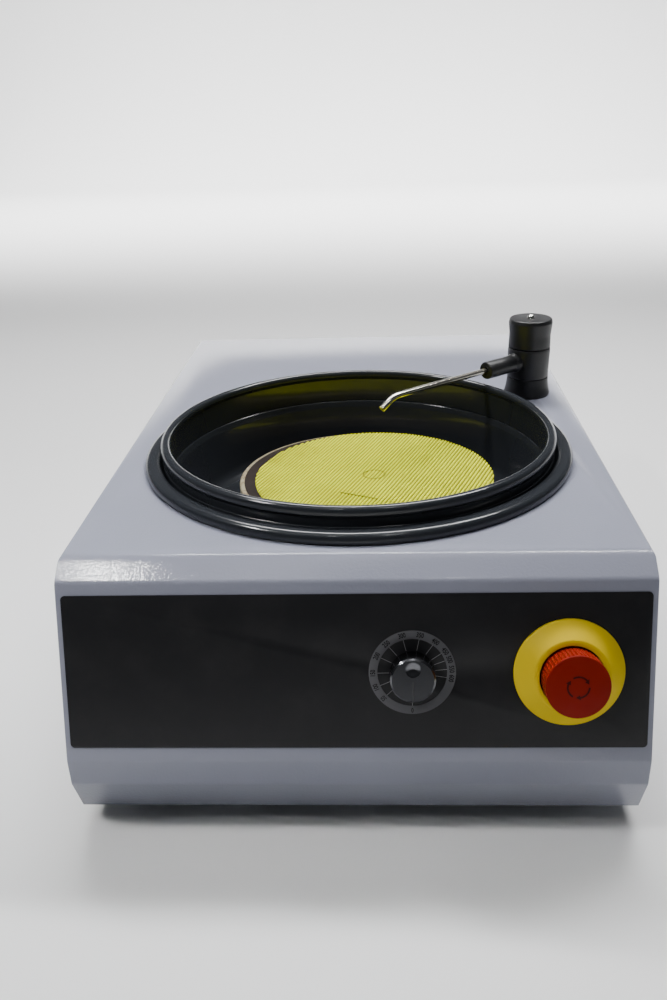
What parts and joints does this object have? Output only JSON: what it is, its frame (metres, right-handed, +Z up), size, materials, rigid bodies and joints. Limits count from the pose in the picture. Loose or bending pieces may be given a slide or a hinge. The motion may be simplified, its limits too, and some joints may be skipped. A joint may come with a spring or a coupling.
{
  "type": "flat lap polishing machine",
  "caption": "Bench flat lap: a water-fed polishing platen in a splash bowl, on a bent-steel housing with a speed knob, an emergency stop and a swivel tap.",
  "frame": {"origin": "middle of the whole machine's footprint, on the table top", "axes": "+Z up, +X to the operator's right, +Y towards the rear; the operator stands at -Y"},
  "size_m": [0.4, 0.6492, 0.2775],
  "materials": {
    "powder_coat": "semi-gloss powder coat, light blue-grey, slight orange peel",
    "pan_paint": "satin grey paint on steel",
    "dark_screws": "blackened steel",
    "rubber": "matte black rubber",
    "steel": "turned steel",
    "film_black": "fine matte black overlay film",
    "dial_grey": "printed grey scale ring",
    "bowl_plastic": "glossy charcoal moulded plastic",
    "hose": "flexible grey hose",
    "spigot_steel": "stainless steel",
    "brass": "turned brass",
    "cast_aluminium": "cast and milled aluminium",
    "black_plastic": "moulded black plastic",
    "pin_nickel": "nickel-plated contact blades",
    "wire": "insulated wire",
    "tap_plastic": "satin charcoal moulded plastic",
    "spout_metal": "bright nickel-plated tube",
    "dome_metal": "polished rivet head",
    "knob_metal": "turned aluminium with a radial sheen",
    "collar_yellow": "satin signal-yellow plastic",
    "stop_red": "satin signal-red plastic",
    "platen_metal": "worn machined aluminium with rusty stains on its edge",
    "film_brown": "dark brown magnetic film",
    "disc_yellow": "ribbed yellow-green polishing disc"
  },
  "bodies": {
    "base": {"housing_cover": "powder_coat", "base_pan": "pan_paint", "rear_panel": "pan_paint", "housing_screws": "dark_screws", "rubber_feet": "rubber", "foot_screws": "steel", "control_film": "film_black", "dial_ring": "dial_grey", "bowl": "bowl_plastic", "bowl_gasket": "rubber", "splash_ring": "bowl_plastic", "drain_hose": "hose", "drain_spigot": "spigot_steel", "water_inlet": "brass", "hose_nuts": "steel", "water_hose": "hose", "spindle_housing": "cast_aluminium", "spindle_bearings": "steel", "spindle_seal": "rubber", "drive_deck": "cast_aluminium", "deck_pillars": "steel", "drive_bolts": "dark_screws", "motor_flange": "cast_aluminium", "motor_shell": "cast_aluminium", "motor_end_cap": "cast_aluminium", "motor_bearings": "steel", "drive_belt": "rubber", "controller_box": "black_plastic", "power_inlet": "black_plastic", "inlet_pins": "pin_nickel", "switch_frame": "black_plastic", "fuse_holder": "black_plastic", "tap_gasket": "rubber", "tap_base": "tap_plastic", "tap_stem": "brass", "tap_nut": "steel", "speed_pot": "black_plastic", "panel_nuts": "steel", "estop_collar": "collar_yellow", "estop_barrel": "black_plastic", "estop_contact_block": "black_plastic", "wiring_loom": "wire"},
    "spindle": {"spindle_shaft": "steel", "spindle_pulley": "cast_aluminium", "platen_hub": "cast_aluminium", "platen": "platen_metal", "magnetic_film": "film_brown"},
    "rotor": {"motor_rotor": "steel", "motor_pulley": "cast_aluminium"},
    "disc": {"polishing_disc": "disc_yellow"},
    "knob": {"speed_knob": "knob_metal", "pot_shaft": "steel"},
    "plunger": {"estop_plunger": "steel"},
    "stop_head": {"estop_head": "stop_red"},
    "spout": {"tap_body": "tap_plastic", "spout_sleeve": "tap_plastic", "spout_tube": "spout_metal"},
    "valve": {"tap_knob": "tap_plastic", "tap_dome": "dome_metal"},
    "rocker": {"mains_rocker": "black_plastic"}
  },
  "joints": [
    {"name": "platen_spin", "type": "hinge", "parent": "base", "child": "spindle", "pos_m": [0, -0.0689, 0.2], "axis": [0, 0, 1], "continuous": true},
    {"name": "motor_spin", "type": "hinge", "parent": "base", "child": "rotor", "pos_m": [-0.045, 0.1931, 0.1], "axis": [0, 0, 1], "continuous": true},
    {"name": "disc_lift", "type": "slide", "parent": "spindle", "child": "disc", "axis": [0, 0, 1], "range_m": [0, 0.035]},
    {"name": "speed_turn", "type": "hinge", "parent": "base", "child": "knob", "pos_m": [0.0389, -0.28945, 0.12719], "axis": [0, 0.9591, -0.2832], "range_deg": [0, 279]},
    {"name": "estop_press", "type": "slide", "parent": "base", "child": "plunger", "axis": [0, 0.9591, -0.2832], "range_m": [0, 0.005]},
    {"name": "estop_twist", "type": "hinge", "parent": "plunger", "child": "stop_head", "pos_m": [0.1429, -0.28945, 0.12719], "axis": [0, 0.9591, -0.2832], "range_deg": [0, 30], "stiffness_Nm_per_rad": 0.05},
    {"name": "spout_swivel", "type": "hinge", "parent": "base", "child": "spout", "pos_m": [0.1625, 0.0781, 0.2], "axis": [0, 0, 1], "range_deg": [-120, 60]},
    {"name": "valve_turn", "type": "hinge", "parent": "base", "child": "valve", "pos_m": [0.1625, 0.0781, 0.2], "axis": [0, 0, 1], "range_deg": [0, 90]},
    {"name": "mains_rock", "type": "hinge", "parent": "base", "child": "rocker", "pos_m": [-0.15, 0.2986, 0.105], "axis": [-1, 0, 0], "range_deg": [0, 12]}
  ],
  "couplings": [
    {"joint": "motor_spin", "follows": "platen_spin", "ratio": 2.9412}
  ]
}
